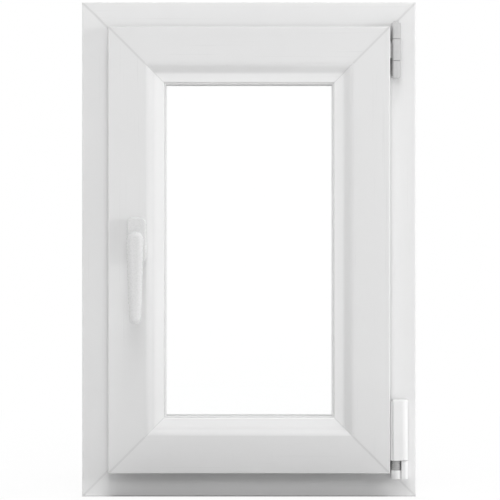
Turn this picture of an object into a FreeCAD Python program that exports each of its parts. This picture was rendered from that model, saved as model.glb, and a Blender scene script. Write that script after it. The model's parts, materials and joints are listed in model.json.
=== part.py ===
import FreeCAD, Part
import math
import os
from types import SimpleNamespace

import Sketcher

# Tilt and turn window, closed, seen from the room along +Y.
# +X is right, +Y is outside, +Z is up, and the origin is the middle of the frame's bottom face.
# All sizes are in millimetres.

SIZES = {
    # Overall size of the outer frame
    "window_width": 500,
    "window_height": 740,
    "frame_depth": 70,
    # Section of the outer frame: the body up to the rebate floor, and the stop on its outside edge
    "frame_body": 48,
    "stop_lip": 20,
    "stop_depth": 22,
    "stop_slope": 5,
    "channel_set": 14,
    "channel_width": 12,
    "channel_depth": 3,
    "frame_edge_round": 2.5,
    "stop_edge_round": 3,
    # Section of the sash, and how it lies in the frame
    "sash_overlap": 8,
    "head_overlap": 10,
    "sill_overlap": 12,
    "rebate_gap": 12,
    "seal_gap": 4,
    "overlap_depth": 16,
    "stop_seal": 3,
    "sash_face": 54,
    "leg_slope": 4,
    "sash_edge_round": 2.5,
    "leg_edge_round": 3,
    "lock_groove_set": 9,
    "lock_groove_width": 12,
    "lock_groove_depth": 4,
    # Flat groove that is cut along the weld on the room face of each frame and sash corner
    "weld_groove_run": 2.2,
    "weld_groove_depth": 0.4,
    # Glazing bead: a set-back land, an S-shaped fall and a sloping strip down to its nose
    "bead_width": 29,
    "bead_set": 0.4,
    "bead_land": 5.5,
    "bead_fall": 6,
    "bead_fall_run": 8,
    "bead_strip_fall": 2,
    "bead_nose": 3,
    "bead_round": 9,
    "bead_nose_round": 1.5,
    # Double glazing
    "pane_thickness": 4,
    "pane_cavity": 16,
    "pane_margin": 5,
    "spacer_margin": 5,
    "spacer_band": 9,
    # Seals
    "bead_seal": 2,
    "bead_seal_band": 8,
    "bead_seal_show": 3,
    "glass_seal": 3,
    "glass_seal_band": 9,
    "overlap_seal_set": 1,
    "overlap_seal_band": 5,
    "stop_seal_set": 1,
    "stop_seal_band": 6,
    # Handle: the rosette on the lock stile and the lever that turns in it
    "handle_set": 43,
    "handle_height": 384,
    "rosette_width": 29,
    "rosette_height": 68,
    "rosette_depth": 10,
    "rosette_corner": 9,
    "rosette_edge_round": 3,
    "collar_radius": 12.5,
    "collar_depth": 3,
    "socket_depth": 9,
    "socket_end_gap": 0.5,
    "neck_radius": 8.5,
    "neck_clearance": 0.05,
    "lever_stand": 46,
    "lever_reach": 124,
    "lever_depth": 13,
    "lever_head_width": 25,
    "lever_tip_width": 18,
    "lever_back_bevel": 2,
    "neck_root_bevel": 1.5,
    # Hinge side: one upright axis carries the stay hinge above and the corner hinge below
    "hinge_set": 9.5,
    "hinge_stand": 10,
    "barrel_radius": 7,
    "hinge_pin_radius": 3.5,
    "hinge_pin_clearance": 0.1,
    "hinge_web": 10,
    "hinge_plate": 3,
    "hinge_leaf": 4,
    "hinge_leaf_set": 1,
    "stay_rise": 6,
    "stay_barrel_end": 24,
    "stay_arm_barrel": 32,
    "stay_leaf": 24,
    "barrel_gap": 0.5,
    "pin_head_radius": 5,
    "pin_head": 2.5,
    "corner_level": 28,
    "corner_bearing": 13,
    "corner_bearing_radius": 8,
    "bearing_reach": 17,
    "cheek_set": 7.5,
    "cheek_stand": 7,
    "cheek_round": 5,
    "pivot_height": 14,
    "pivot_collar_radius": 6,
    "pivot_collar": 4,
    "pivot_waist_radius": 5.4,
    "band_height": 89,
    "band_leaf": 60,
    "pin_seat": 11,
    "cover_shift": 7.5,
    "cover_side": 5.5,
    "cover_radius": 10,
    "cover_wall": 2,
    "cover_skirt": 1,
    "cover_leg": 8,
    "cover_edge_round": 1.8,
    # Drain caps on the outside of the sill
    "cap_length": 44,
    "cap_height": 14,
    "cap_depth": 7,
    "cap_lip": 4,
    "cap_level": 12,
    "cap_side": 85,
    "cap_edge_round": 1.5,
}


class Length:
    """A length in millimetres together with the sheet expression that gives it."""

    def __init__(self, value, text):
        self.value = float(value)
        self.text = text

    def __add__(self, other):
        other = as_length(other)
        return Length(self.value + other.value, f"({self.text} + {other.text})")

    def __sub__(self, other):
        other = as_length(other)
        return Length(self.value - other.value, f"({self.text} - {other.text})")

    def __neg__(self):
        return Length(-self.value, f"(0 - {self.text})")

    def __mul__(self, factor):
        return Length(self.value * factor, f"({self.text} * {factor})")

    def __truediv__(self, divisor):
        return Length(self.value / divisor, f"({self.text} / {divisor})")


def as_length(number):
    if isinstance(number, Length):
        return number
    return Length(number, f"{number}")


# The document and its sheet of driving dimensions

doc = FreeCAD.newDocument("TiltAndTurnWindow")
sheet = doc.addObject("Spreadsheet::Sheet", "Sizes")
for row, (alias, number) in enumerate(SIZES.items(), start=1):
    sheet.set(f"A{row}", alias)
    sheet.set(f"B{row}", str(number))
    sheet.setAlias(f"B{row}", alias)
doc.recompute()

size = SimpleNamespace(**{alias: Length(number, f"Sizes.{alias}") for alias, number in SIZES.items()})

# Places that several pieces share

frame_side = size.window_width / 2
frame_room_face = -(size.frame_depth / 2)
frame_outside_face = size.frame_depth / 2
stop_face = frame_outside_face - size.stop_depth

sash_side = frame_side - size.frame_body + size.sash_overlap
sash_bottom = size.frame_body - size.sill_overlap
sash_top = size.window_height - size.frame_body + size.head_overlap
sash_room_face = frame_room_face - size.seal_gap - size.overlap_depth
sash_outside_face = stop_face - size.stop_seal
sash_depth = sash_outside_face - sash_room_face

bead_nose_level = size.bead_set + size.bead_fall + size.bead_strip_fall
bead_depth = bead_nose_level + size.bead_nose
bead_back = sash_room_face + bead_depth
room_pane_room = bead_back + size.bead_seal
room_pane_outside = room_pane_room + size.pane_thickness
outer_pane_room = room_pane_outside + size.pane_cavity
outer_pane_outside = outer_pane_room + size.pane_thickness
leg_room_face = outer_pane_outside + size.glass_seal

handle_x = size.handle_set - sash_side
hinge_x = sash_side + size.hinge_set
hinge_y = frame_room_face - size.hinge_stand

pieces = []


# Small steps that every piece is made of

def bind(thing, path, length):
    thing.setExpression(path, as_length(length).text)


def place(thing, x, y, z, turn_axis=(0, 1, 0), turn=0):
    """Turn a piece by whole degrees and tie its place to the sheet."""
    corner = FreeCAD.Vector(as_length(x).value, as_length(y).value, as_length(z).value)
    thing.Placement = FreeCAD.Placement(corner, FreeCAD.Rotation(FreeCAD.Vector(*turn_axis), turn))
    bind(thing, "Placement.Base.x", x)
    bind(thing, "Placement.Base.y", y)
    bind(thing, "Placement.Base.z", z)


def new_body(label):
    body = doc.addObject("PartDesign::Body", label)
    body.Label = label
    pieces.append(body)
    return body


def new_sketch(body, role, level=0):
    """A sketch on one of the body's own planes, raised along that plane's normal."""
    sketch = body.newObject("Sketcher::SketchObject", f"{body.Label}_sketch")
    plane = next(entry for entry in body.Origin.OriginFeatures if entry.Role == role)
    sketch.AttachmentSupport = [(plane, "")]
    sketch.MapMode = "FlatFace"
    bind(sketch, "AttachmentOffset.Base.z", level)
    return sketch


def fix_across(sketch, kind, geometry, end, distance):
    """Tie one point's DistanceX or DistanceY from the sketch's origin to the sheet."""
    distance = as_length(distance)
    if distance.value == 0:
        axis = -2 if kind == "DistanceX" else -1
        sketch.addConstraint(Sketcher.Constraint("PointOnObject", geometry, end, axis))
        return
    ends = (-1, 1, geometry, end)
    if distance.value < 0:
        ends = (geometry, end, -1, 1)
        distance = -distance
    index = sketch.addConstraint(Sketcher.Constraint(kind, *ends, distance.value))
    bind(sketch, f"Constraints[{index}]", distance)


def fix_point(sketch, geometry, end, x, y):
    fix_across(sketch, "DistanceX", geometry, end, x)
    fix_across(sketch, "DistanceY", geometry, end, y)


def add_outline(sketch, corners):
    """A closed outline of straight lines."""
    first = sketch.GeometryCount
    points = [FreeCAD.Vector(as_length(x).value, as_length(y).value, 0) for x, y in corners]
    for start, end in zip(points, points[1:] + points[:1]):
        sketch.addGeometry(Part.LineSegment(start, end))
    for k in range(len(points)):
        following = first + (k + 1) % len(points)
        sketch.addConstraint(Sketcher.Constraint("Coincident", first + k, 2, following, 1))
    for k, (x, y) in enumerate(corners):
        fix_point(sketch, first + k, 1, x, y)


def add_rectangle(sketch, left, bottom, right, top):
    add_outline(sketch, [(left, bottom), (right, bottom), (right, top), (left, top)])


def add_circle(sketch, x, y, radius):
    middle = FreeCAD.Vector(as_length(x).value, as_length(y).value, 0)
    index = sketch.addGeometry(Part.Circle(middle, FreeCAD.Vector(0, 0, 1), as_length(radius).value))
    fix_point(sketch, index, 3, x, y)
    bound = sketch.addConstraint(Sketcher.Constraint("Radius", index, as_length(radius).value))
    bind(sketch, f"Constraints[{bound}]", radius)


def add_tapered_bar(sketch, top_radius, reach, tip_radius):
    """Two arcs, one about the origin and one below it, joined by the straight lines that touch both."""
    centres = (as_length(0), tip_radius - reach)
    spread = math.asin((top_radius.value - tip_radius.value) / (reach.value - tip_radius.value))
    arcs = []
    for centre, radius, first, last in (
        (centres[0], top_radius, -spread, math.pi + spread),
        (centres[1], tip_radius, math.pi + spread, math.tau - spread),
    ):
        circle = Part.Circle(FreeCAD.Vector(0, centre.value, 0), FreeCAD.Vector(0, 0, 1), radius.value)
        index = sketch.addGeometry(Part.ArcOfCircle(circle, first, last))
        bound = sketch.addConstraint(Sketcher.Constraint("Radius", index, radius.value))
        bind(sketch, f"Constraints[{bound}]", radius)
        fix_point(sketch, index, 3, 0, centre)
        arcs.append(index)
    top, tip = arcs
    for start_arc, end_arc in ((top, tip), (tip, top)):
        start = sketch.Geometry[start_arc].EndPoint
        end = sketch.Geometry[end_arc].StartPoint
        side = sketch.addGeometry(Part.LineSegment(start, end))
        sketch.addConstraint(Sketcher.Constraint("Tangent", start_arc, 2, side, 1))
        sketch.addConstraint(Sketcher.Constraint("Tangent", side, 2, end_arc, 1))


def pad(body, sketch, length, backwards=False):
    feature = body.newObject("PartDesign::Pad", f"{body.Label}_pad")
    feature.Profile = sketch
    feature.Reversed = backwards
    bind(feature, "Length", length)
    doc.recompute()
    return feature


def pocket(body, sketch, length=None, backwards=False):
    """Cut a sketch to a depth, or right through, and make sure that it took material away."""
    before = body.Shape.Volume
    feature = body.newObject("PartDesign::Pocket", f"{body.Label}_pocket")
    feature.Profile = sketch
    feature.Reversed = backwards
    if length is None:
        feature.Type = "ThroughAll"
    else:
        bind(feature, "Length", length)
    doc.recompute()
    if body.Shape.Volume >= before:
        raise RuntimeError(f"the pocket in {body.Label} cuts nothing")
    return feature


def revolve(body, sketch):
    feature = body.newObject("PartDesign::Revolution", f"{body.Label}_turned")
    feature.Profile = sketch
    feature.ReferenceAxis = (sketch, ["V_Axis"])
    feature.Angle = 360
    doc.recompute()
    return feature


def dress_edges(body, kind, measure, length, wanted):
    """Dress the edges of the body's last feature whose end points pass the test."""
    base = body.Tip
    names = []
    for number, edge in enumerate(base.Shape.Edges, start=1):
        if wanted([vertex.Point for vertex in edge.Vertexes]):
            names.append(f"Edge{number}")
    feature = body.newObject(f"PartDesign::{kind}", f"{body.Label}_{kind}")
    feature.Base = (base, names)
    bind(feature, measure, length)
    doc.recompute()
    return feature


def fillet(body, radius, wanted):
    return dress_edges(body, "Fillet", "Radius", radius, wanted)


def chamfer(body, run, wanted):
    return dress_edges(body, "Chamfer", "Size", run, wanted)


def near(first, second):
    return abs(as_length(first).value - as_length(second).value) < 1e-4


def at_corner(x, y):
    """A test for the upright edge through one corner of a section."""
    return lambda ends: all(near(point.x, x) and near(point.y, y) for point in ends)


def at_level(level):
    """A test for the edges that lie in one level plane."""
    return lambda ends: all(near(point.z, level) for point in ends)


def upright(ends):
    """A test for every upright edge."""
    return near(ends[0].x, ends[-1].x) and near(ends[0].y, ends[-1].y)


# Mitred members: the outer frame, the sash and the glazing beads

def mitred_member(label, section, rounds, length):
    """Run a section along local Z and cut both ends at 45 degrees; local x points to the glass."""
    body = new_body(label)
    profile = new_sketch(body, "XY_Plane")
    add_outline(profile, section)
    pad(body, profile, length)
    for radius, (x, y) in rounds:
        fillet(body, radius, at_corner(x, y))
    widest = max((as_length(x) for x, _ in section), key=lambda x: x.value)
    cut = new_sketch(body, "XZ_Plane")
    add_outline(cut, [(0, 0), (widest, 0), (widest, widest)])
    add_outline(cut, [(0, length), (widest, length - widest), (widest, length)])
    pocket(body, cut)
    return body


def cut_weld_grooves(body, face, length):
    """A flat groove beside the mitre at both ends of the room face; its neighbour has the other half."""
    run = size.weld_groove_run
    grooves = new_sketch(body, "XZ_Plane")
    add_outline(grooves, [(0, 0), (face, face), (face, face + run), (0, run)])
    add_outline(grooves, [(0, length), (face, length - face), (face, length - face - run), (0, length - run)])
    pocket(body, grooves, size.weld_groove_depth)


def mitred_ring(labels, section, rounds, outside, room_face, welded_face=None):
    """Four mitred members round a rectangle, named left, top, right and bottom."""
    left, bottom, right, top = outside
    corners = ((left, bottom), (left, top), (right, top), (right, bottom))
    for quarter, (label, (x, z)) in enumerate(zip(labels, corners)):
        length = top - bottom if quarter % 2 == 0 else right - left
        member = mitred_member(label, section, rounds, length)
        if welded_face is not None:
            cut_weld_grooves(member, welded_face, length)
        place(member, x, room_face, z, turn=90 * quarter)


def wall_channel(far_edge):
    """A shallow channel along the member's outer face, from its far edge back to its near one."""
    near_edge = far_edge - size.channel_width
    return [(0, far_edge), (size.channel_depth, far_edge), (size.channel_depth, near_edge), (0, near_edge)]


stop_reach = size.frame_body + size.stop_lip
stop_level = size.frame_depth - size.stop_depth
frame_section = [
    (0, 0),
    (size.frame_body, 0),
    (size.frame_body, stop_level),
    (stop_reach, stop_level),
    (stop_reach - size.stop_slope, size.frame_depth),
    (0, size.frame_depth),
    *wall_channel(size.frame_depth - size.channel_set),
    *wall_channel(size.channel_set + size.channel_width),
]
mitred_ring(
    ("frame_left_jamb", "frame_head", "frame_right_jamb", "frame_sill"),
    frame_section,
    [(size.frame_edge_round, frame_section[0]), (size.stop_edge_round, frame_section[4])],
    (-frame_side, as_length(0), frame_side, size.window_height),
    frame_room_face,
    size.frame_body,
)

sash_step = size.sash_overlap + size.rebate_gap
leg_reach = size.sash_face + size.bead_width
leg_level = leg_room_face - sash_room_face
groove_level = size.overlap_depth + size.lock_groove_set
groove_end = groove_level + size.lock_groove_width
groove_floor = sash_step + size.lock_groove_depth
sash_section = [
    (0, 0),
    (size.sash_face, 0),
    (size.sash_face, leg_level),
    (leg_reach, leg_level),
    (leg_reach - size.leg_slope, sash_depth),
    (sash_step, sash_depth),
    (sash_step, groove_end),
    (groove_floor, groove_end),
    (groove_floor, groove_level),
    (sash_step, groove_level),
    (sash_step, size.overlap_depth),
    (0, size.overlap_depth),
]
mitred_ring(
    ("sash_lock_stile", "sash_top_rail", "sash_hinge_stile", "sash_bottom_rail"),
    sash_section,
    [(size.sash_edge_round, sash_section[0]), (size.leg_edge_round, sash_section[4])],
    (-sash_side, sash_bottom, sash_side, sash_top),
    sash_room_face,
    size.sash_face,
)

bead_side = sash_side - size.sash_face
bead_bottom = sash_bottom + size.sash_face
bead_top = sash_top - size.sash_face
fall_foot = size.bead_land + size.bead_fall_run
bead_section = [
    (0, size.bead_set),
    (size.bead_land, size.bead_set),
    (fall_foot, size.bead_set + size.bead_fall),
    (size.bead_width, bead_nose_level),
    (size.bead_width, bead_depth),
    (0, bead_depth),
]
mitred_ring(
    ("glazing_bead_left", "glazing_bead_top", "glazing_bead_right", "glazing_bead_bottom"),
    bead_section,
    [
        (size.bead_round, bead_section[1]),
        (size.bead_round, bead_section[2]),
        (size.bead_nose_round, bead_section[3]),
    ],
    (-bead_side, bead_bottom, bead_side, bead_top),
    sash_room_face,
)


# Glass, spacer and seals: flat plates and rings parallel to the wall

def flat_ring(label, side, bottom, top, band, room_face, depth):
    """A rectangular ring, or a full plate where the band is None."""
    body = new_body(label)
    sketch = new_sketch(body, "XZ_Plane")
    add_rectangle(sketch, -side, bottom, side, top)
    if band is not None:
        add_rectangle(sketch, -(side - band), bottom + band, side - band, top - band)
    pad(body, sketch, depth, backwards=True)
    place(body, 0, room_face, 0)


pane_side = bead_side - size.pane_margin
pane_bottom = bead_bottom + size.pane_margin
pane_top = bead_top - size.pane_margin
flat_ring("room_pane", pane_side, pane_bottom, pane_top, None, room_pane_room, size.pane_thickness)
flat_ring("outer_pane", pane_side, pane_bottom, pane_top, None, outer_pane_room, size.pane_thickness)
flat_ring(
    "spacer_bar",
    pane_side - size.spacer_margin,
    pane_bottom + size.spacer_margin,
    pane_top - size.spacer_margin,
    size.spacer_band,
    room_pane_outside,
    size.pane_cavity,
)

bead_seal_edge = size.bead_width + size.bead_seal_show - size.bead_seal_band
flat_ring(
    "bead_gasket",
    bead_side - bead_seal_edge,
    bead_bottom + bead_seal_edge,
    bead_top - bead_seal_edge,
    size.bead_seal_band,
    bead_back,
    size.bead_seal,
)
glass_seal_edge = size.bead_width - size.glass_seal_band
flat_ring(
    "outer_glazing_gasket",
    bead_side - glass_seal_edge,
    bead_bottom + glass_seal_edge,
    bead_top - glass_seal_edge,
    size.glass_seal_band,
    outer_pane_outside,
    size.glass_seal,
)
flat_ring(
    "sash_gasket",
    sash_side - size.overlap_seal_set,
    sash_bottom + size.overlap_seal_set,
    sash_top - size.overlap_seal_set,
    size.overlap_seal_band,
    frame_room_face - size.seal_gap,
    size.seal_gap,
)
stop_seal_edge = sash_step + size.stop_seal_set
flat_ring(
    "frame_gasket",
    sash_side - stop_seal_edge,
    sash_bottom + stop_seal_edge,
    sash_top - stop_seal_edge,
    size.stop_seal_band,
    sash_outside_face,
    size.stop_seal,
)


# Handle: local Z points into the room and local Y points up

def place_on_handle(body):
    place(body, handle_x, sash_room_face, size.handle_height, turn_axis=(1, 0, 0), turn=90)


LEVER_FRONT_SHARE = 0.44
rosette_front = size.rosette_depth + size.collar_depth


def make_rosette():
    body = new_body("handle_rosette")
    half_width = size.rosette_width / 2
    half_height = size.rosette_height / 2
    plate = new_sketch(body, "XY_Plane")
    add_rectangle(plate, -half_width, -half_height, half_width, half_height)
    pad(body, plate, size.rosette_depth)
    fillet(body, size.rosette_corner, upright)
    fillet(body, size.rosette_edge_round, at_level(size.rosette_depth))
    collar = new_sketch(body, "XY_Plane", size.rosette_depth)
    add_circle(collar, 0, 0, size.collar_radius)
    pad(body, collar, size.collar_depth)
    socket = new_sketch(body, "XY_Plane", rosette_front)
    add_circle(socket, 0, 0, size.neck_radius + size.neck_clearance)
    pocket(body, socket, size.socket_depth)
    place_on_handle(body)


def make_lever():
    """A tapered grip with rounded edges on a round neck that turns in the rosette's socket."""
    body = new_body("handle_lever")
    back = size.lever_stand - size.lever_depth / 2
    front = size.lever_stand + size.lever_depth / 2
    grip = new_sketch(body, "XY_Plane", back)
    add_tapered_bar(grip, size.lever_head_width / 2, size.lever_reach, size.lever_tip_width / 2)
    pad(body, grip, size.lever_depth)
    fillet(body, size.lever_tip_width * LEVER_FRONT_SHARE, at_level(front))
    chamfer(body, size.lever_back_bevel, at_level(back))
    neck_foot = rosette_front - size.socket_depth + size.socket_end_gap
    neck = new_sketch(body, "XY_Plane", neck_foot)
    add_circle(neck, 0, 0, size.neck_radius)
    pad(body, neck, size.lever_stand - neck_foot)

    def neck_root(ends):
        round_neck = all(near(math.hypot(point.x, point.y), size.neck_radius) for point in ends)
        return round_neck and at_level(back)(ends)

    chamfer(body, size.neck_root_bevel, neck_root)
    place_on_handle(body)


make_rosette()
make_lever()


# Hinges: barrels about one upright axis at the sash's right edge, local Z up and y to the outside

frame_from_axis = size.hinge_stand
sash_from_axis = size.hinge_set
bore_radius = size.hinge_pin_radius + size.hinge_pin_clearance
stay_length = size.stay_barrel_end * 2 + size.stay_arm_barrel + size.barrel_gap * 2
stay_bottom = sash_top + size.stay_rise - stay_length


def place_on_axis(body, level):
    place(body, hinge_x, hinge_y, level)


def add_block(body, level, height, left, front, right, back):
    sketch = new_sketch(body, "XY_Plane", level)
    add_rectangle(sketch, left, front, right, back)
    pad(body, sketch, height)


def add_barrel(body, level, height, radius):
    sketch = new_sketch(body, "XY_Plane", level)
    add_circle(sketch, 0, 0, radius)
    pad(body, sketch, height)


def bore_through(body):
    sketch = new_sketch(body, "XY_Plane")
    add_circle(sketch, 0, 0, bore_radius)
    pocket(body, sketch, backwards=True)


def make_stay_hinge():
    """The bearing on the frame, the arm barrel on the sash between its two ends, and their pin."""
    half_web = size.hinge_web / 2
    bearing = new_body("upper_hinge_bearing")
    plate_front = frame_from_axis - size.hinge_plate
    add_block(bearing, 0, stay_length, -half_web, plate_front, half_web, frame_from_axis)
    for level in (as_length(0), stay_length - size.stay_barrel_end):
        add_block(bearing, level, size.stay_barrel_end, -half_web, 0, half_web, plate_front)
        add_barrel(bearing, level, size.stay_barrel_end, size.barrel_radius)
    bore_through(bearing)
    place_on_axis(bearing, stay_bottom)

    arm = new_body("upper_hinge_arm")
    add_barrel(arm, 0, size.stay_arm_barrel, size.barrel_radius)
    leaf_level = (size.stay_arm_barrel - size.stay_leaf) / 2
    leaf_back = size.hinge_leaf_set + size.hinge_leaf
    add_block(arm, leaf_level, size.stay_leaf, -sash_from_axis, size.hinge_leaf_set, 0, leaf_back)
    bore_through(arm)
    place_on_axis(arm, stay_bottom + size.stay_barrel_end + size.barrel_gap)

    pin = new_body("upper_hinge_pin")
    profile = new_sketch(pin, "XZ_Plane")
    pin_top = stay_length + size.pin_head
    add_outline(profile, [
        (0, -size.pin_head),
        (size.hinge_pin_radius, -size.pin_head),
        (size.pin_head_radius, 0),
        (size.hinge_pin_radius, 0),
        (size.hinge_pin_radius, stay_length),
        (size.pin_head_radius, stay_length),
        (size.hinge_pin_radius, pin_top),
        (0, pin_top),
    ])
    revolve(pin, profile)
    place_on_axis(pin, stay_bottom)


def make_corner_hinge():
    """The bearing on the frame's corner, its pivot, the band on the sash and the cover over the band."""
    bearing_top = size.corner_level + size.corner_bearing
    band_level = bearing_top + size.pivot_height
    bearing = new_body("lower_hinge_bearing")
    cheek_height = size.corner_bearing + size.pivot_height
    add_block(bearing, 0, cheek_height, size.cheek_set, -size.cheek_stand, size.bearing_reach, frame_from_axis)
    fillet(bearing, size.cheek_round, at_corner(size.bearing_reach, -size.cheek_stand))
    add_barrel(bearing, 0, size.corner_bearing, size.corner_bearing_radius)
    web_side = size.corner_bearing_radius - size.hinge_plate / 2
    add_block(bearing, 0, size.corner_bearing, -web_side, 0, size.cheek_set, frame_from_axis)
    seat = new_sketch(bearing, "XY_Plane", size.corner_bearing)
    add_circle(seat, 0, 0, bore_radius)
    pocket(bearing, seat, size.pin_seat)
    place_on_axis(bearing, size.corner_level)

    pin = new_body("lower_hinge_pin")
    profile = new_sketch(pin, "XZ_Plane")
    pin_foot = size.socket_end_gap - size.pin_seat
    pin_top = size.pivot_height + size.pin_seat
    upper_collar = size.pivot_height - size.pivot_collar
    add_outline(profile, [
        (0, pin_foot),
        (size.hinge_pin_radius, pin_foot),
        (size.hinge_pin_radius, 0),
        (size.pivot_collar_radius, 0),
        (size.pivot_collar_radius, size.pivot_collar),
        (size.pivot_waist_radius, size.pivot_collar),
        (size.pivot_waist_radius, upper_collar),
        (size.pivot_collar_radius, upper_collar),
        (size.pivot_collar_radius, size.pivot_height),
        (size.hinge_pin_radius, size.pivot_height),
        (size.hinge_pin_radius, pin_top),
        (0, pin_top),
    ])
    revolve(pin, profile)
    place_on_axis(pin, bearing_top)

    band = new_body("lower_hinge_band")
    add_barrel(band, 0, size.band_height, size.barrel_radius)
    leaf_level = (size.band_height - size.band_leaf) / 2
    leaf_back = size.hinge_leaf_set + size.hinge_leaf
    add_block(band, leaf_level, size.band_leaf, -sash_from_axis, size.hinge_leaf_set, 0, leaf_back)
    bore_through(band)
    place_on_axis(band, band_level)

    cover = new_body("lower_hinge_cover")
    cover_height = size.band_height + size.cover_wall - size.cover_skirt
    hollow_height = cover_height - size.cover_wall
    middle = size.cover_shift
    left = -size.cover_side
    right = middle + size.cover_radius
    front = -size.cover_radius
    inner_radius = size.cover_radius - size.cover_wall
    add_block(cover, 0, cover_height, left, front, right, size.cover_leg)
    fillet(cover, size.cover_radius, at_corner(right, front))
    fillet(cover, size.cover_edge_round, at_corner(left, front))
    fillet(cover, size.cover_edge_round, at_level(cover_height))
    hollow = new_sketch(cover, "XY_Plane")
    add_rectangle(hollow, left, -inner_radius, middle, size.cover_leg)
    pocket(cover, hollow, hollow_height, backwards=True)
    hollow_side = new_sketch(cover, "XY_Plane")
    add_rectangle(hollow_side, middle, 0, middle + inner_radius, size.cover_leg)
    pocket(cover, hollow_side, hollow_height, backwards=True)
    hollow_round = new_sketch(cover, "XY_Plane")
    add_circle(hollow_round, middle, 0, inner_radius)
    pocket(cover, hollow_round, hollow_height, backwards=True)
    place_on_axis(cover, band_level + size.cover_skirt)


make_stay_hinge()
make_corner_hinge()


# Drain caps: small hoods over the drain slots, local x down and y to the outside

def make_drain_cap(label, side):
    body = new_body(label)
    profile = new_sketch(body, "XY_Plane")
    hood = [
        (0, 0),
        (size.cap_height, 0),
        (size.cap_height, size.cap_depth),
        (size.cap_lip, size.cap_depth),
        (0, size.cap_depth - size.cap_lip),
    ]
    add_outline(profile, hood)
    pad(body, profile, size.cap_length)
    fillet(body, size.cap_edge_round, at_corner(*hood[2]))
    fillet(body, size.cap_edge_round, at_corner(*hood[3]))
    place(body, side - size.cap_length / 2, frame_outside_face, size.cap_level + size.cap_height, turn=90)


cap_middle = frame_side - size.cap_side
make_drain_cap("drain_cap_left", -cap_middle)
make_drain_cap("drain_cap_right", cap_middle)

# Check every object, then write one file for each piece

doc.recompute()
for thing in doc.Objects:
    if "Invalid" in thing.State or "Error" in thing.State:
        raise RuntimeError(f"{thing.Label} failed: {thing.State}")
for piece in pieces:
    if piece.Shape.isNull() or not piece.Shape.isValid():
        raise RuntimeError(f"{piece.Label} has no valid shape")

os.makedirs("parts", exist_ok=True)
for piece in pieces:
    piece.Shape.exportStep(f"parts/{piece.Label}.step")
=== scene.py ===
import json
import math

import bmesh
import bpy
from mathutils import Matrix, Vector


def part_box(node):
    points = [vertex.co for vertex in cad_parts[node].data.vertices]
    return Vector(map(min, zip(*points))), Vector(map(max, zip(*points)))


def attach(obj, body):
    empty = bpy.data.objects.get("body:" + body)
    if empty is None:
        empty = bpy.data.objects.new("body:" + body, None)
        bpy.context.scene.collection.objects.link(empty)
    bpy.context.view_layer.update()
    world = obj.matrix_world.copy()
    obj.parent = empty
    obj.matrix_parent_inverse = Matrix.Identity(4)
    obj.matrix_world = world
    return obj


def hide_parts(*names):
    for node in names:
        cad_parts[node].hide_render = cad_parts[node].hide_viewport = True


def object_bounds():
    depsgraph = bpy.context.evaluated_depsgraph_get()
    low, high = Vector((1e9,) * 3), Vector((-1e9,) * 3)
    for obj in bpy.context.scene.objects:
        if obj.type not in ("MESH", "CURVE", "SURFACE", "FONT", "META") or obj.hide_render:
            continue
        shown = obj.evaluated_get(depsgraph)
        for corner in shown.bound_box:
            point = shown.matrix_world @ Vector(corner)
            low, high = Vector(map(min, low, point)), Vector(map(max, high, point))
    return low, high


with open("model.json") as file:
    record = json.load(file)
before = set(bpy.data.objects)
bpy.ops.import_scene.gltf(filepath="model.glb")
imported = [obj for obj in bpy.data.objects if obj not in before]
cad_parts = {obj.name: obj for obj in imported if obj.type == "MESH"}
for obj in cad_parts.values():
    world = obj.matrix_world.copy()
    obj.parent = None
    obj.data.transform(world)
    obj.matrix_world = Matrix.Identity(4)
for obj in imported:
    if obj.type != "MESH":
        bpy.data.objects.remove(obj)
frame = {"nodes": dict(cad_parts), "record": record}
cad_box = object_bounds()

# A white tilt and turn window: finishes, soft edges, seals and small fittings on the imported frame.
# All lengths are in metres, in the frame of the part: +X right, +Y outside, +Z up.

MM = 0.001
NODES = frame["nodes"]
SLOT_OF = {entry["node"]: entry["material_slot"] for entry in frame["record"]["subparts"]}
scene = bpy.context.scene


def lowest(node):
    """The lowest corner of a node's box at rest."""
    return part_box(node)[0]


def highest(node):
    """The highest corner of a node's box at rest."""
    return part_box(node)[1]


# Node trees

# Noise mostly lies between these two values
NOISE_LOW = 0.3
NOISE_HIGH = 0.7


def grey(level):
    """An opaque grey colour."""
    return (level, level, level, 1.0)


def even(scale):
    """The same scale along each axis."""
    return (scale, scale, scale)


class Tree:
    """A node tree, with short ways to add nodes and to join them."""

    def __init__(self, tree):
        self.nodes = tree.nodes
        self.links = tree.links

    def add(self, kind, **settings):
        node = self.nodes.new(kind)
        for key, value in settings.items():
            setattr(node, key, value)
        return node

    def feed(self, socket, value):
        """Join a socket to an output, or set it to a plain value."""
        if isinstance(value, bpy.types.NodeSocket):
            self.links.new(value, socket)
        else:
            socket.default_value = value

    def compute(self, operation, *values):
        """A math node on numbers and outputs."""
        node = self.add("ShaderNodeMath", operation=operation)
        for socket, value in zip(node.inputs, values):
            self.feed(socket, value)
        return node.outputs["Value"]

    def remap(self, value, start, end, low=0.0, high=1.0, kind="LINEAR"):
        """Carry a value from the range between start and end to the one between low and high."""
        node = self.add("ShaderNodeMapRange", interpolation_type=kind)
        for socket, entry in zip(node.inputs, (value, start, end, low, high)):
            self.feed(socket, entry)
        return node.outputs["Result"]

    def soft_step(self, value, start, full):
        """A soft step from 0 at the start to 1 at the full value."""
        return self.remap(value, start, full, kind="SMOOTHSTEP")

    def place(self):
        """Where a point lies in its object's own space."""
        return self.add("ShaderNodeTexCoord").outputs["Object"]

    def axes(self, letters):
        """The coordinates of that place along the axes with these letters."""
        node = self.add("ShaderNodeSeparateXYZ")
        self.feed(node.inputs["Vector"], self.place())
        return [node.outputs[letter] for letter in letters]

    def shown_directly(self):
        """1 where the camera, a reflection or the glass shows it, and 0 where it only lights others."""
        path = self.add("ShaderNodeLightPath")
        either = path.outputs["Is Camera Ray"]
        for other in ("Is Glossy Ray", "Is Transmission Ray"):
            either = self.compute("MAXIMUM", either, path.outputs[other])
        return either


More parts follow.
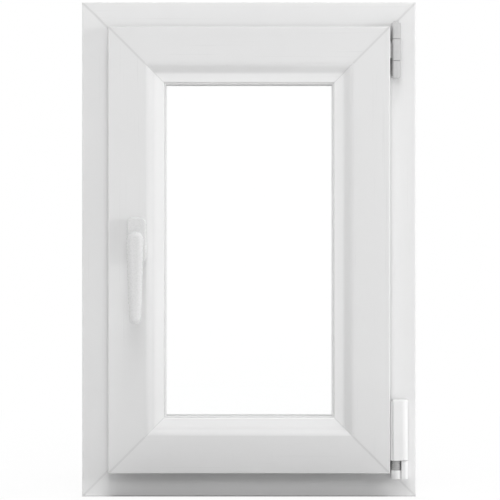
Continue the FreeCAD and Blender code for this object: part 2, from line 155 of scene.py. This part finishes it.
class Shader(Tree):
    """A node material with one Principled shader, and short ways to drive it."""

    def __init__(self, name, **constants):
        self.material = bpy.data.materials.new(name)
        self.material.use_nodes = True
        super().__init__(self.material.node_tree)
        self.inputs = self.nodes["Principled BSDF"].inputs
        for socket, value in constants.items():
            self.inputs[socket.replace("_", " ")].default_value = value

    def noise(self, scale, detail=2.0, roughness=0.5):
        """Noise in object space, with a scale for each axis."""
        mapping = self.add("ShaderNodeMapping")
        self.feed(mapping.inputs["Scale"], scale)
        self.feed(mapping.inputs["Vector"], self.place())
        texture = self.add("ShaderNodeTexNoise")
        self.feed(texture.inputs["Scale"], 1.0)
        self.feed(texture.inputs["Detail"], detail)
        self.feed(texture.inputs["Roughness"], roughness)
        self.feed(texture.inputs["Vector"], mapping.outputs["Vector"])
        return texture.outputs["Fac"]

    def spread(self, noise, low, high):
        """Spread a noise over a range of values."""
        return self.remap(noise, NOISE_LOW, NOISE_HIGH, low, high)

    def blend(self, factor, first, second):
        """A mix of two colours, each a plain one or an output."""
        node = self.add("ShaderNodeMix", data_type="RGBA")
        self.feed(node.inputs["Factor"], factor)
        sockets = [socket for socket in node.inputs if socket.type == "RGBA"]
        for socket, colour in zip(sockets, (first, second)):
            self.feed(socket, colour)
        return next(socket for socket in node.outputs if socket.type == "RGBA")

    def mottle(self, noise, level, uneven):
        """A grey that a noise makes a little darker and lighter."""
        return self.blend(noise, grey(level - uneven), grey(level + uneven))

    def bump(self, height, strength, depth):
        node = self.add("ShaderNodeBump")
        self.feed(node.inputs["Strength"], strength)
        self.feed(node.inputs["Distance"], depth)
        self.feed(node.inputs["Height"], height)
        self.feed(self.inputs["Normal"], node.outputs["Normal"])

    def colour(self, output):
        self.feed(self.inputs["Base Color"], output)

    def roughness(self, output):
        self.feed(self.inputs["Roughness"], output)


# Materials

PLASTIC_IOR = 1.46
PAINT_IOR = 1.5
RUBBER_IOR = 1.5
GLASS_IOR = 1.5
GLASS_TINT = (0.995, 1.0, 0.998, 1.0)
# Lets lamplight pass the panes, so that the spacer and the seals between them are lit
GLASS_ALPHA = 0.3
HAZE_SCALE = (14.0, 14.0, 5.0)
HOLE_PITCH = 6.0 * MM
HOLE_RADIUS = 0.5 * MM
HOLE_EDGE = 0.15 * MM
# Painted shade: the near black of the spacer's breathing holes
HOLE_SHADE_GREY = 0.12
JOINT_EDGE = 0.4 * MM
JOINT_MATT = 0.25

# Noise scales along and across the draw lines of a profile, and for the turned lines of a hinge
ALONG = 5.0
ACROSS = 700.0
UPRIGHT_LINES = (ACROSS, ACROSS, ALONG)
LEVEL_LINES = (ALONG, ACROSS, ACROSS)
TURNED_LINES = (260.0, 260.0, 1500.0)


def from_ring_edges(shader, nodes):
    """How far inwards a point lies from the sides of a ring of members, and from its nearer end."""
    side = max(highest(node).x for node in nodes)
    bottom = min(lowest(node).z for node in nodes)
    top = max(highest(node).z for node in nodes)
    x, z = shader.axes("XZ")
    from_side = shader.compute("SUBTRACT", side, shader.compute("ABSOLUTE", x))
    from_bottom = shader.compute("SUBTRACT", z, bottom)
    from_top = shader.compute("SUBTRACT", top, z)
    return from_side, shader.compute("MINIMUM", from_bottom, from_top)


def extruded_plastic(name, line_scale, ring, look):
    """Satin white profile: draw lines, uneven gloss, matt corner joints and, on a bead, a painted
    highlight along its inner side.
    """
    shader = Shader(name, IOR=PLASTIC_IOR)
    lines = shader.noise(line_scale, detail=3.0)
    cloud = shader.noise(even(9.0))
    from_side, from_end = from_ring_edges(shader, ring)
    off_joint = shader.compute("ABSOLUTE", shader.compute("SUBTRACT", from_side, from_end))
    joint = shader.soft_step(off_joint, look["joint_reach"], look["joint_reach"] - JOINT_EDGE)
    white = shader.mottle(cloud, look["white"], uneven=0.015)
    if "painted_highlight_white" in look:
        # On a bead, a paler strip next to the glass: a painted highlight
        inwards = shader.compute("MINIMUM", from_side, from_end)
        strip = shader.soft_step(inwards, look["strip_start"], look["strip_full"])
        white = shader.blend(strip, white, grey(look["painted_highlight_white"]))
    shader.colour(shader.blend(joint, white, grey(look["joint_white"])))
    gloss = shader.spread(lines, low=0.27, high=0.37)
    shader.roughness(shader.compute("MULTIPLY_ADD", joint, JOINT_MATT, gloss))
    shader.bump(lines, strength=0.12, depth=0.04 * MM)
    return shader.material


def moulded_plastic(name, level, smoothest, roughest):
    """Injection moulded plastic with a very fine spark-eroded texture."""
    shader = Shader(name, IOR=PLASTIC_IOR)
    texture = shader.noise(even(2600.0), detail=1.0)
    cloud = shader.noise(even(40.0))
    shader.colour(shader.mottle(cloud, level, uneven=0.012))
    shader.roughness(shader.spread(texture, smoothest, roughest))
    shader.bump(texture, strength=0.10, depth=0.03 * MM)
    return shader.material


def powder_coat(name, level):
    """White stoved paint on the handle: glossy, with a slight orange peel."""
    shader = Shader(name, IOR=PAINT_IOR, Coat_Weight=0.25, Coat_Roughness=0.12)
    peel = shader.noise(even(520.0), detail=1.0)
    cloud = shader.noise(even(30.0))
    shader.colour(shader.mottle(cloud, level, uneven=0.01))
    shader.roughness(shader.spread(peel, low=0.24, high=0.32))
    shader.bump(peel, strength=0.10, depth=0.05 * MM)
    return shader.material


def plated_steel(name, level, line_scale):
    """Zinc plated hinge metal: turned or drawn lines, and a patchy passivated tone."""
    shader = Shader(name, Metallic=0.8)
    lines = shader.noise(line_scale, detail=4.0, roughness=0.6)
    patches = shader.noise(even(160.0), detail=3.0)
    shader.colour(shader.mottle(patches, level, uneven=0.05))
    shader.roughness(shader.spread(lines, low=0.30, high=0.44))
    shader.bump(lines, strength=0.15, depth=0.04 * MM)
    return shader.material


def seal_rubber(name, level):
    """Soft grey seal: matt, with a dusty unevenness."""
    shader = Shader(name, IOR=RUBBER_IOR, Specular_IOR_Level=0.35)
    dust = shader.noise(even(300.0), detail=3.0)
    shader.colour(shader.mottle(dust, level, uneven=0.03))
    shader.roughness(shader.spread(dust, low=0.55, high=0.72))
    shader.bump(dust, strength=0.15, depth=0.05 * MM)
    return shader.material


def clear_glass(name):
    """Clean float glass with a barely uneven polish."""
    shader = Shader(name, Base_Color=GLASS_TINT, IOR=GLASS_IOR, Transmission_Weight=1.0, Alpha=GLASS_ALPHA)
    haze = shader.noise(HAZE_SCALE, detail=3.0)
    shader.roughness(shader.spread(haze, low=0.0, high=0.012))
    return shader.material


def spacer_metal(name, level):
    """Rolled silver spacer, with a row of small breathing holes along the middle of its faces painted on
    as dark dots of painted shade.
    """
    shader = Shader(name, Metallic=0.35)
    lines = shader.noise(even(700.0))
    silver = shader.mottle(lines, level, uneven=0.04)
    middle_y = (lowest("spacer_bar").y + highest("spacer_bar").y) / 2
    x, y, z = shader.axes("XYZ")
    in_pitch = shader.compute("PINGPONG", shader.compute("ADD", x, z), HOLE_PITCH / 2)
    off_middle = shader.compute("SUBTRACT", y, middle_y)
    squares = [shader.compute("MULTIPLY", offset, offset) for offset in (in_pitch, off_middle)]
    off_hole = shader.compute("SQRT", shader.compute("ADD", *squares))
    # Each breathing hole is a dark dot, painted shade in place of a real hole
    hole_shade = shader.soft_step(off_hole, HOLE_RADIUS + HOLE_EDGE, HOLE_RADIUS)
    shader.colour(shader.blend(hole_shade, silver, grey(HOLE_SHADE_GREY)))
    shader.roughness(shader.spread(lines, low=0.38, high=0.5))
    shader.bump(lines, strength=0.1, depth=0.03 * MM)
    return shader.material


# The frame is painted a little paler than the sash: painted light that makes up for the frame lying deeper
# and getting less light, so that both look equally bright.
# A bead has a painted highlight: a paler strip along its inner side, next to the glass.
FRAME_LOOK = {"white": 0.87, "joint_reach": 2.3 * MM, "joint_white": 0.79}
SASH_LOOK = {"white": 0.82, "joint_reach": 2.3 * MM, "joint_white": 0.74}
BEAD_LOOK = {
    "white": 0.81, "joint_reach": 0.5 * MM, "joint_white": 0.6,
    "strip_start": 12.0 * MM, "strip_full": 18.0 * MM, "painted_highlight_white": 0.94,
}
# The upright and the level members of each ring, and its look
RINGS = {
    "frame": (
        ("frame_left_jamb", "frame_right_jamb"),
        ("frame_head", "frame_sill"),
        FRAME_LOOK,
    ),
    "sash": (
        ("sash_lock_stile", "sash_hinge_stile"),
        ("sash_top_rail", "sash_bottom_rail"),
        SASH_LOOK,
    ),
    "bead": (
        ("glazing_bead_left", "glazing_bead_right"),
        ("glazing_bead_top", "glazing_bead_bottom"),
        BEAD_LOOK,
    ),
}
MATERIALS = {
    "gasket_grey": seal_rubber("seal_rubber_grey", level=0.32),
    "glass": clear_glass("float_glass"),
    "spacer_metal": spacer_metal("spacer_aluminium", level=0.78),
    "hinge_metal": plated_steel("hinge_plated_steel", level=0.63, line_scale=TURNED_LINES),
    "hinge_white": moulded_plastic("hinge_moulded_plastic", level=0.92, smoothest=0.28, roughest=0.38),
    "upvc_white": moulded_plastic("drain_cap_plastic", level=0.86, smoothest=0.32, roughest=0.42),
    "handle_white": powder_coat("handle_powder_coat", level=0.77),
}
PALE_SEALS = {
    "bead_gasket": seal_rubber("seal_rubber_pale", level=0.84),
    "outer_glazing_gasket": seal_rubber("seal_rubber_light", level=0.80),
}
SLEEVE_PLASTIC = moulded_plastic("sleeve_grey", level=0.46, smoothest=0.36, roughest=0.46)

profile_plastic = {}
for ring_name, (uprights, levels, look) in RINGS.items():
    ring = uprights + levels
    for members, direction, line_scale in (
        (uprights, "upright", UPRIGHT_LINES),
        (levels, "level", LEVEL_LINES),
    ):
        plastic = extruded_plastic(f"upvc_{ring_name}_{direction}", line_scale, ring, look)
        profile_plastic.update({name: plastic for name in members})

for name, node in NODES.items():
    node.data.materials.clear()
    node.data.materials.append(profile_plastic.get(name, MATERIALS[SLOT_OF[name]]))


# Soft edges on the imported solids; at the mitres they leave the fine V of a cleaned weld

EDGE_SOFTNESS = {
    "upvc_white": 0.45 * MM, "hinge_metal": 0.35 * MM, "hinge_white": 0.4 * MM, "handle_white": 0.4 * MM,
}
EDGE_STEPS = 3
SHARP_ANGLE = math.radians(32)
MERGE_DISTANCE = 0.002 * MM

for name, node in NODES.items():
    width = EDGE_SOFTNESS.get(SLOT_OF[name])
    if width is None:
        continue
    weld = node.modifiers.new("Weld", "WELD")
    weld.merge_threshold = MERGE_DISTANCE
    bevel = node.modifiers.new("Bevel", "BEVEL")
    bevel.width = width
    bevel.segments = EDGE_STEPS
    bevel.limit_method = "ANGLE"
    bevel.angle_limit = SHARP_ANGLE


# Meshes for the seals and the small fittings

def row_faces(rows, count, closed):
    """Faces between neighbouring rows, each a closed loop of so many points."""
    faces = []
    for row in range(rows if closed else rows - 1):
        here = row * count
        there = (row + 1) % rows * count
        for point in range(count):
            following = (point + 1) % count
            faces.append((here + point, here + following, there + following, there + point))
    return faces


def add_mesh(name, vertices, faces, material, smooth_angle):
    mesh = bpy.data.meshes.new(name)
    mesh.from_pydata(vertices, [], faces)
    mesh.validate()
    work = bmesh.new()
    work.from_mesh(mesh)
    bmesh.ops.recalc_face_normals(work, faces=work.faces)
    work.to_mesh(mesh)
    work.free()
    mesh.polygons.foreach_set("use_smooth", [True] * len(mesh.polygons))
    mesh.set_sharp_from_angle(angle=smooth_angle)
    mesh.materials.append(material)
    piece = bpy.data.objects.new(name, mesh)
    scene.collection.objects.link(piece)
    return piece


# Seals: each flat ring is shown with the lip of the real one, mitred at its corners.
# A section runs inwards from the ring's outer edge and outwards from its room side, in millimetres.

SEAL_SECTIONS = {
    "bead_gasket": [
        (0, 0.1), (4.9, 0.1), (5.0, -0.3), (5.5, -0.7), (6.3, -0.75), (7.1, -0.4),
        (7.8, 0.5), (8.1, 1.5), (8.1, 2.0), (0, 2.0),
    ],
    "outer_glazing_gasket": [
        (0, 0), (11.4, 0), (11.3, 0.8), (10.8, 2.0), (9.8, 2.7), (9.0, 3.0), (0, 3.0),
    ],
    "sash_gasket": [
        (0.6, 0), (5.0, 0), (5.0, 0.9), (4.0, 1.4), (2.9, 2.4), (1.6, 3.5), (0.5, 4.0),
        (-0.3, 4.0), (-0.5, 3.6), (0.6, 3.0), (1.6, 2.0), (1.8, 1.1), (0.6, 0.8),
    ],
    "frame_gasket": [
        (0, 0), (6.6, 0), (7.9, 0.25), (8.4, 0.9), (8.1, 1.8), (6.8, 2.7), (5.8, 3.0), (0, 3.0),
    ],
}
SEAL_SMOOTH_ANGLE = math.radians(50)
RING_CORNERS = 4


def mitred_ring(name, node, section, material):
    """Sweep a section round the rectangle of a node's outer edge."""
    vertices = []
    for inwards, outwards in section:
        left = lowest(node).x + inwards * MM
        right = highest(node).x - inwards * MM
        bottom = lowest(node).z + inwards * MM
        top = highest(node).z - inwards * MM
        y = lowest(node).y + outwards * MM
        vertices += [(left, y, bottom), (right, y, bottom), (right, y, top), (left, y, top)]
    faces = row_faces(len(section), RING_CORNERS, closed=True)
    return add_mesh(name, vertices, faces, material, SEAL_SMOOTH_ANGLE)


for node_name, seal_section in SEAL_SECTIONS.items():
    rubber = PALE_SEALS.get(node_name, MATERIALS["gasket_grey"])
    seal = mitred_ring(node_name + "_lip", node_name, seal_section, rubber)
    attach(seal, "window")
    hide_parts(node_name)


# Lower hinge: a ribbed sleeve round the pivot, and a cap strip over the band's leaf beside the sash

TURN_STEPS = 48
FITTING_SMOOTH_ANGLE = math.radians(40)
PIVOT_HEIGHT = 14 * MM
SLEEVE_GAP = 0.3 * MM
SLEEVE_BORE = 6.1 * MM
# Radii up one rib
SLEEVE_RADII = (6.7 * MM, 7.3 * MM, 7.3 * MM, 6.7 * MM)
SLEEVE_RIBS = 4
CAP_GAP = 0.4 * MM
CAP_SET_BACK = 3.5 * MM
CAP_DEPTH = 6.5 * MM
CAP_ROUND = 1.2 * MM
# The cap's ends draw in to this share of its outline over this height
CAP_END_SHARE = 0.6
CAP_END_HEIGHT = 0.8 * MM


def turned_ring(name, axis, section, material):
    """Turn a closed section of radius and height pairs round an upright axis."""
    vertices = []
    for step in range(TURN_STEPS):
        angle = math.tau * step / TURN_STEPS
        for radius, height in section:
            x = axis.x + radius * math.cos(angle)
            y = axis.y + radius * math.sin(angle)
            vertices.append((x, y, height))
    faces = row_faces(TURN_STEPS, len(section), closed=True)
    return add_mesh(name, vertices, faces, material, FITTING_SMOOTH_ANGLE)


def upright_strip(name, outline, bottom, top, material):
    """A strip with one outline from above and drawn-in ends."""
    count = len(outline)
    centre = sum((Vector(point) for point in outline), Vector((0.0, 0.0))) / count
    rows = (
        (bottom, CAP_END_SHARE),
        (bottom + CAP_END_HEIGHT, 1.0),
        (top - CAP_END_HEIGHT, 1.0),
        (top, CAP_END_SHARE),
    )
    vertices = []
    for height, share in rows:
        for point in outline:
            corner = centre + (Vector(point) - centre) * share
            vertices.append((corner.x, corner.y, height))
    lower_end = tuple(reversed(range(count)))
    upper_end = tuple(range(len(vertices) - count, len(vertices)))
    faces = [lower_end, upper_end] + row_faces(len(rows), count, closed=False)
    return add_mesh(name, vertices, faces, material, FITTING_SMOOTH_ANGLE)


hinge_axis = (lowest("lower_hinge_pin") + highest("lower_hinge_pin")) / 2
band_foot = lowest("lower_hinge_band").z
band_head = highest("lower_hinge_band").z

sleeve_foot = band_foot - PIVOT_HEIGHT + SLEEVE_GAP
rib_height = (PIVOT_HEIGHT - 2 * SLEEVE_GAP) / SLEEVE_RIBS
sleeve_head = sleeve_foot + rib_height * SLEEVE_RIBS
sleeve_section = [(SLEEVE_BORE, sleeve_foot)]
for rib in range(SLEEVE_RIBS):
    for step, radius in enumerate(SLEEVE_RADII):
        sleeve_section.append((radius, sleeve_foot + rib_height * (rib + step / len(SLEEVE_RADII))))
sleeve_section += [(SLEEVE_RADII[0], sleeve_head), (SLEEVE_BORE, sleeve_head)]
sleeve = turned_ring("lower_hinge_sleeve", hinge_axis, sleeve_section, SLEEVE_PLASTIC)
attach(sleeve, "window")

cap_left = highest("sash_hinge_stile").x + CAP_GAP
cap_right = lowest("lower_hinge_cover").x + CAP_GAP
cap_front = lowest("lower_hinge_cover").y + CAP_SET_BACK
cap_back = cap_front + CAP_DEPTH
cap_outline = [
    (cap_left, cap_back),
    (cap_left, cap_front + CAP_ROUND),
    (cap_left + CAP_ROUND, cap_front),
    (cap_right, cap_front),
    (cap_right, cap_back),
]
leaf_cap = upright_strip(
    "lower_hinge_leaf_cap",
    cap_outline,
    band_foot + CAP_GAP,
    band_head - CAP_GAP,
    MATERIALS["hinge_white"],
)
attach(leaf_cap, "window")


# Lamps and surroundings

# Azimuth in degrees from straight in front of the room side, to the right; distance and extent in metres
LAMPS = {
    "key": {"azimuth": 0, "elevation": 38, "distance": 4.0, "extent": 2.0, "watts": 21.0},
    "top": {"azimuth": 0, "elevation": 68, "distance": 4.0, "extent": 1.6, "watts": 46.0},
    "front": {"azimuth": 0, "elevation": 5, "distance": 4.0, "extent": 2.0, "watts": 4.0},
    "right": {"azimuth": 70, "elevation": 8, "distance": 3.5, "extent": 0.6, "watts": 26.0},
    "edge": {"azimuth": 84, "elevation": 5, "distance": 3.0, "extent": 1.0, "watts": 15.0},
    "left": {"azimuth": -65, "elevation": 20, "distance": 3.5, "extent": 1.6, "watts": 9.0},
    "back": {"azimuth": 180, "elevation": 35, "distance": 4.0, "extent": 2.4, "watts": 70.0},
}
WORLD_LIGHT = 0.35
FLOOR_EXTENT = 60.0
FLOOR_GAP = 0.05 * MM
FLOOR_TONE = 0.95
# How much of the shadow shows on the white floor, and how far from the middle of the window's foot
SHADOW_SHARE = 0.12
SHADOW_REACH = 1.6
# The floor as it lights the object: a dark patch below the window, with its half widths along X and Y,
# where it begins to fade and where it has faded out to a pale tone
PATCH_TONE = 0.04
PATCH_DARK = (0.19, 0.07)
PATCH_FADED = (0.23, 0.20)
BOUNCE_TONE = 0.85

low, high = cad_box
room_face = lowest("frame_left_jamb").y
middle = Vector(((low.x + high.x) / 2, room_face, (low.z + high.z) / 2))


def look_at(thing, target):
    thing.rotation_euler = (Vector(target) - thing.location).to_track_quat("-Z", "Y").to_euler()


def soft_light(name, azimuth, elevation, distance, extent, watts):
    """A round soft light, placed by its direction seen from the middle of the window's room face."""
    lamp = bpy.data.lights.new(name, "AREA")
    lamp.shape = "DISK"
    lamp.size = extent
    lamp.energy = watts
    light = bpy.data.objects.new(name, lamp)
    across = math.radians(azimuth)
    up = math.radians(elevation)
    towards = Vector((math.sin(across) * math.cos(up), -math.cos(across) * math.cos(up), math.sin(up)))
    light.location = middle + towards * distance
    light.visible_glossy = False
    look_at(light, middle)
    scene.collection.objects.link(light)


def make_world():
    """Surroundings that show as white and light the object softly."""
    world = bpy.data.worlds.new("studio")
    scene.world = world
    world.use_nodes = True
    tree = Tree(world.node_tree)
    sky = tree.nodes["Background"]
    tree.feed(sky.inputs["Color"], grey(1.0))
    tree.feed(sky.inputs["Strength"], tree.remap(tree.shown_directly(), 0.0, 1.0, WORLD_LIGHT, 1.0))


def make_floor():
    """A pale floor that shows as white with the object's shadow near its foot.

    For the light that it sends back to the object, a patch below the window is dark, which keeps the
    sill in shadow.
    """
    half = FLOOR_EXTENT / 2
    corners = [(-half, -half, 0), (half, -half, 0), (half, half, 0), (-half, half, 0)]
    mesh = bpy.data.meshes.new("floor")
    mesh.from_pydata(corners, [], [(0, 1, 2, 3)])
    floor = bpy.data.objects.new("floor", mesh)
    floor.location.z = low.z - FLOOR_GAP
    scene.collection.objects.link(floor)
    material = bpy.data.materials.new("floor_white")
    material.use_nodes = True
    mesh.materials.append(material)
    tree = Tree(material.node_tree)
    tree.nodes.remove(tree.nodes["Principled BSDF"])
    shown = tree.shown_directly()
    off_patch = [
        tree.soft_step(tree.compute("ABSOLUTE", along), dark, faded)
        for along, dark, faded in zip(tree.axes("XY"), PATCH_DARK, PATCH_FADED)
    ]
    bounce = tree.remap(tree.compute("MAXIMUM", *off_patch), 0.0, 1.0, PATCH_TONE, BOUNCE_TONE)
    diffuse = tree.add("ShaderNodeBsdfDiffuse")
    tree.feed(diffuse.inputs["Color"], tree.remap(shown, 0.0, 1.0, bounce, FLOOR_TONE))
    white = tree.add("ShaderNodeEmission")
    distance = tree.add("ShaderNodeVectorMath", operation="LENGTH")
    tree.feed(distance.inputs["Vector"], tree.place())
    unshaded = tree.remap(
        distance.outputs["Value"], 0.0, SHADOW_REACH, 1.0 - SHADOW_SHARE, 1.0, kind="SMOOTHSTEP",
    )
    mix = tree.add("ShaderNodeMixShader")
    factor, first, second = mix.inputs
    tree.feed(factor, tree.compute("MULTIPLY", shown, unshaded))
    tree.feed(first, diffuse.outputs["BSDF"])
    tree.feed(second, white.outputs["Emission"])
    tree.feed(tree.nodes["Material Output"].inputs["Surface"], mix.outputs["Shader"])


for lamp_name, lamp_values in LAMPS.items():
    soft_light(lamp_name, **lamp_values)
make_world()
make_floor()


# Camera

# The photograph's size in pixels, and where the outer frame lies in it
PHOTO_SIZE = 500
PHOTO_LEFT = 82
PHOTO_RIGHT = 416
PHOTO_TOP = 3
PHOTO_BOTTOM = 496
CAMERA_DISTANCE = 3.0
SENSOR_MM = 36.0


def make_camera():
    """Square on to the room side, with the outer frame in the same place as in the photograph."""
    metres_per_pixel = (high.x - low.x) / (PHOTO_RIGHT - PHOTO_LEFT)
    lens = bpy.data.cameras.new("camera")
    lens.sensor_width = SENSOR_MM
    lens.lens = SENSOR_MM * CAMERA_DISTANCE / (metres_per_pixel * PHOTO_SIZE)
    camera = bpy.data.objects.new("camera", lens)
    centre = PHOTO_SIZE / 2
    x = middle.x + (centre - (PHOTO_LEFT + PHOTO_RIGHT) / 2) * metres_per_pixel
    z = middle.z - (centre - (PHOTO_TOP + PHOTO_BOTTOM) / 2) * metres_per_pixel
    camera.location = (x, room_face - CAMERA_DISTANCE, z)
    look_at(camera, (x, room_face, z))
    scene.collection.objects.link(camera)
    scene.camera = camera


make_camera()
scene.view_settings.view_transform = "Standard"
